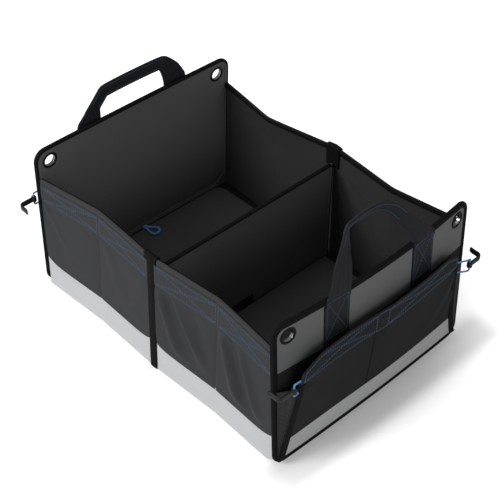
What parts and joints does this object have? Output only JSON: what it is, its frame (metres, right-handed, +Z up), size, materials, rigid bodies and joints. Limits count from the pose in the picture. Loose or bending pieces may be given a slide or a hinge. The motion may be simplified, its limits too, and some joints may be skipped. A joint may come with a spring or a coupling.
{
  "type": "collapsible car storage box",
  "caption": "Open fabric boot box with stiff ends, creased side walls, a divider, lifting base boards, webbing handles and end pockets.",
  "frame": {"origin": "on the floor under the foot of the divider, midway between the side walls", "axes": "+X from the rear end to the front end along the length, +Y from the left wall to the right wall, +Z up"},
  "size_m": [0.6265, 0.4794, 0.376],
  "materials": {
    "panel_cloth": "light-grey coated polyester outside, near-black lining inside, over a stiff board",
    "outer_cloth": "black ripstop polyester, matt",
    "lining_cloth": "near-black lining cloth, matt with a faint sheen",
    "band_cloth": "light-grey coated polyester",
    "binding_tape": "black grosgrain binding tape",
    "hem_tape": "dark-grey grosgrain binding tape",
    "webbing": "black polyester webbing with blue box stitching",
    "mesh_cloth": "black mesh",
    "board_cover": "near-black cloth over a stiff board",
    "blue_cord": "braided elastic cord, blue",
    "hook_plastic": "black moulded nylon, satin",
    "eyelet_metal": "black enamelled brass"
  },
  "bodies": {
    "shell": {"rear_end_panel": "panel_cloth", "rear_end_binding": "binding_tape", "rear_handle": "webbing", "rear_end_pocket": "outer_cloth", "rear_end_band": "band_cloth", "rear_hinge_strap": "webbing", "rear_left_eyelet": "eyelet_metal", "rear_left_gusset": "mesh_cloth", "rear_left_elastic": "blue_cord", "rear_right_eyelet": "eyelet_metal", "rear_right_gusset": "mesh_cloth", "rear_right_elastic": "blue_cord", "front_end_panel": "panel_cloth", "front_end_binding": "binding_tape", "front_handle": "webbing", "front_end_pocket": "outer_cloth", "front_end_band": "band_cloth", "front_hinge_strap": "webbing", "front_left_eyelet": "eyelet_metal", "front_left_gusset": "mesh_cloth", "front_left_elastic": "blue_cord", "front_right_eyelet": "eyelet_metal", "front_right_gusset": "mesh_cloth", "front_right_elastic": "blue_cord", "left_wall": "lining_cloth", "left_top_binding": "hem_tape", "left_middle_strap": "binding_tape", "divider_left_tab": "webbing", "left_rear_pocket": "outer_cloth", "left_rear_band": "band_cloth", "left_front_pocket": "outer_cloth", "left_front_band": "band_cloth", "right_wall": "lining_cloth", "right_top_binding": "hem_tape", "right_middle_strap": "binding_tape", "divider_right_tab": "webbing", "right_rear_pocket": "outer_cloth", "right_rear_band": "band_cloth", "right_front_pocket": "outer_cloth", "right_front_band": "band_cloth", "bottom_cloth": "lining_cloth", "divider_panel": "lining_cloth", "divider_binding": "binding_tape"},
    "rear_board_body": {"rear_base_board": "board_cover", "rear_pull_loop": "blue_cord"},
    "rear_left_hook_body": {"rear_left_hook": "hook_plastic"},
    "rear_right_hook_body": {"rear_right_hook": "hook_plastic"},
    "front_board_body": {"front_base_board": "board_cover", "front_pull_loop": "blue_cord"},
    "front_left_hook_body": {"front_left_hook": "hook_plastic"},
    "front_right_hook_body": {"front_right_hook": "hook_plastic"}
  },
  "joints": [
    {"name": "rear_board_lift", "type": "hinge", "parent": "shell", "child": "rear_board_body", "pos_m": [-0.009, 0, 0.0053], "axis": [0, 1, 0], "range_deg": [0, 85]},
    {"name": "front_board_lift", "type": "hinge", "parent": "shell", "child": "front_board_body", "pos_m": [0.009, 0, 0.0053], "axis": [0, -1, 0], "range_deg": [0, 85]},
    {"name": "rear_left_hook_swing", "type": "hinge", "parent": "shell", "child": "rear_left_hook_body", "pos_m": [-0.30644, -0.21322, 0.178], "axis": [0, 0, -1], "range_deg": [-8, 70]},
    {"name": "rear_right_hook_swing", "type": "hinge", "parent": "shell", "child": "rear_right_hook_body", "pos_m": [-0.30644, 0.20122, 0.178], "axis": [0, 0, 1], "range_deg": [-8, 70]},
    {"name": "front_left_hook_swing", "type": "hinge", "parent": "shell", "child": "front_left_hook_body", "pos_m": [0.3093, -0.20122, 0.178], "axis": [0, 0, 1], "range_deg": [-8, 70]},
    {"name": "front_right_hook_swing", "type": "hinge", "parent": "shell", "child": "front_right_hook_body", "pos_m": [0.3093, 0.20122, 0.178], "axis": [0, 0, -1], "range_deg": [-8, 70]}
  ]
}
